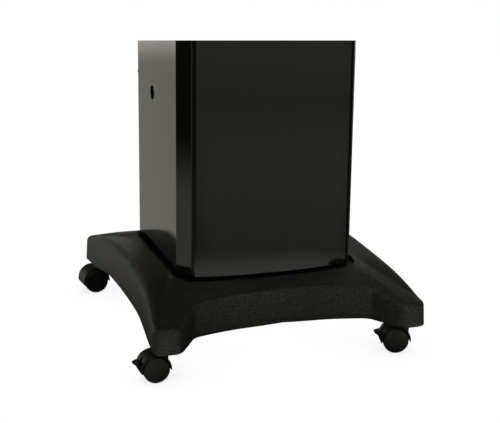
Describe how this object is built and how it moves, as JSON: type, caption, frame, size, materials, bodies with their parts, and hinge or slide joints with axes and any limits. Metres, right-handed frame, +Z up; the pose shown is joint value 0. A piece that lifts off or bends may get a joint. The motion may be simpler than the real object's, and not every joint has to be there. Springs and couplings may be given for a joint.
{
  "type": "presentation lectern",
  "caption": "Mobile presentation lectern: moulded base on twin-wheel casters, black sheet-metal cabinet column with bowed front cover and rear door, and a sloping desk.",
  "frame": {"origin": "on the floor, under the middle of the base", "axes": "+Z up, +Y towards the presenter and the rear door, +X to the right as the audience sees it"},
  "size_m": [0.61, 0.602, 1.175],
  "materials": {
    "textured_plastic": "dark grey-black moulding with a fine pebble grain, satin",
    "black_paint": "semi-gloss black powder coat with a very fine texture",
    "caster_plastic": "plain black nylon, satin",
    "zinc_steel": "bright zinc-plated steel",
    "wood_board": "dark laminated board, satin",
    "rubber": "black, matt"
  },
  "bodies": {
    "lectern": {"base_moulding": "textured_plastic", "desk_shell": "textured_plastic", "base_frame": "zinc_steel", "column_bolt_front_left": "zinc_steel", "column_bolt_front_right": "zinc_steel", "column_bolt_rear_left": "zinc_steel", "column_bolt_rear_right": "zinc_steel", "caster_stem_front_left": "zinc_steel", "caster_stem_front_right": "zinc_steel", "caster_stem_rear_left": "zinc_steel", "caster_stem_rear_right": "zinc_steel", "shelf_clip_front_left": "zinc_steel", "shelf_clip_front_right": "zinc_steel", "shelf_clip_rear_left": "zinc_steel", "shelf_clip_rear_right": "zinc_steel", "desk_bracket_left": "zinc_steel", "desk_bracket_right": "zinc_steel", "side_panel_left": "black_paint", "side_panel_right": "black_paint", "front_cover": "black_paint", "front_inner_panel": "black_paint", "cabinet_floor": "black_paint", "cabinet_top": "black_paint", "fixed_shelf": "black_paint", "adjustable_shelf": "black_paint", "hinge_frame_leaf_lower": "black_paint", "hinge_frame_leaf_upper": "black_paint", "hinge_pin_lower": "black_paint", "hinge_pin_upper": "black_paint", "desk_base_plate": "black_paint", "reading_board": "wood_board", "paper_stop": "wood_board", "cable_grommet": "rubber"},
    "swivel_front_left": {"caster_hood_front_left": "caster_plastic"},
    "wheels_front_left": {"caster_axle_front_left": "zinc_steel", "caster_wheel_front_left_outer": "caster_plastic", "caster_wheel_front_left_inner": "caster_plastic"},
    "swivel_front_right": {"caster_hood_front_right": "caster_plastic"},
    "wheels_front_right": {"caster_axle_front_right": "zinc_steel", "caster_wheel_front_right_outer": "caster_plastic", "caster_wheel_front_right_inner": "caster_plastic"},
    "swivel_rear_left": {"caster_hood_rear_left": "caster_plastic"},
    "wheels_rear_left": {"caster_axle_rear_left": "zinc_steel", "caster_wheel_rear_left_outer": "caster_plastic", "caster_wheel_rear_left_inner": "caster_plastic"},
    "swivel_rear_right": {"caster_hood_rear_right": "caster_plastic"},
    "wheels_rear_right": {"caster_axle_rear_right": "zinc_steel", "caster_wheel_rear_right_outer": "caster_plastic", "caster_wheel_rear_right_inner": "caster_plastic"},
    "brake_front_left": {"brake_lever_front_left": "caster_plastic"},
    "brake_front_right": {"brake_lever_front_right": "caster_plastic"},
    "door": {"rear_door": "black_paint", "hinge_door_leaf_lower": "black_paint", "hinge_door_leaf_upper": "black_paint", "lock_housing": "zinc_steel"},
    "lock": {"lock_plug": "zinc_steel"}
  },
  "joints": [
    {"name": "swivel_front_left", "type": "hinge", "parent": "lectern", "child": "swivel_front_left", "pos_m": [-0.241, -0.253, 0.06], "axis": [0, 0, 1], "continuous": true},
    {"name": "roll_front_left", "type": "hinge", "parent": "swivel_front_left", "child": "wheels_front_left", "pos_m": [-0.2585, -0.25331, 0.025], "axis": [-0.0175, 0.9998, 0], "continuous": true},
    {"name": "swivel_front_right", "type": "hinge", "parent": "lectern", "child": "swivel_front_right", "pos_m": [0.241, -0.253, 0.06], "axis": [0, 0, 1], "continuous": true},
    {"name": "roll_front_right", "type": "hinge", "parent": "swivel_front_right", "child": "wheels_front_right", "pos_m": [0.2241, -0.24847, 0.025], "axis": [0.2588, 0.9659, 0], "continuous": true},
    {"name": "swivel_rear_left", "type": "hinge", "parent": "lectern", "child": "swivel_rear_left", "pos_m": [-0.241, 0.253, 0.06], "axis": [0, 0, 1], "continuous": true},
    {"name": "roll_rear_left", "type": "hinge", "parent": "swivel_rear_left", "child": "wheels_rear_left", "pos_m": [-0.25843, 0.25148, 0.025], "axis": [-0.0872, 0.9962, 0], "continuous": true},
    {"name": "swivel_rear_right", "type": "hinge", "parent": "lectern", "child": "swivel_rear_right", "pos_m": [0.241, 0.253, 0.06], "axis": [0, 0, 1], "continuous": true},
    {"name": "roll_rear_right", "type": "hinge", "parent": "swivel_rear_right", "child": "wheels_rear_right", "pos_m": [0.22367, 0.25056, 0.025], "axis": [-0.1392, 0.9903, 0], "continuous": true},
    {"name": "brake_front_left", "type": "hinge", "parent": "swivel_front_left", "child": "brake_front_left", "pos_m": [-0.27949, -0.25367, 0.037], "axis": [-0.0175, 0.9998, 0], "range_deg": [-15, 0]},
    {"name": "brake_front_right", "type": "hinge", "parent": "swivel_front_right", "child": "brake_front_right", "pos_m": [0.20381, -0.24304, 0.037], "axis": [0.2588, 0.9659, 0], "range_deg": [-15, 0]},
    {"name": "door_hinge", "type": "hinge", "parent": "lectern", "child": "door", "pos_m": [-0.173, 0.171, 0.575], "axis": [0, 0, 1], "range_deg": [0, 110]},
    {"name": "door_lock", "type": "hinge", "parent": "door", "child": "lock", "pos_m": [0.148, 0.16, 0.575], "axis": [0, 1, 0], "range_deg": [0, 90]}
  ]
}
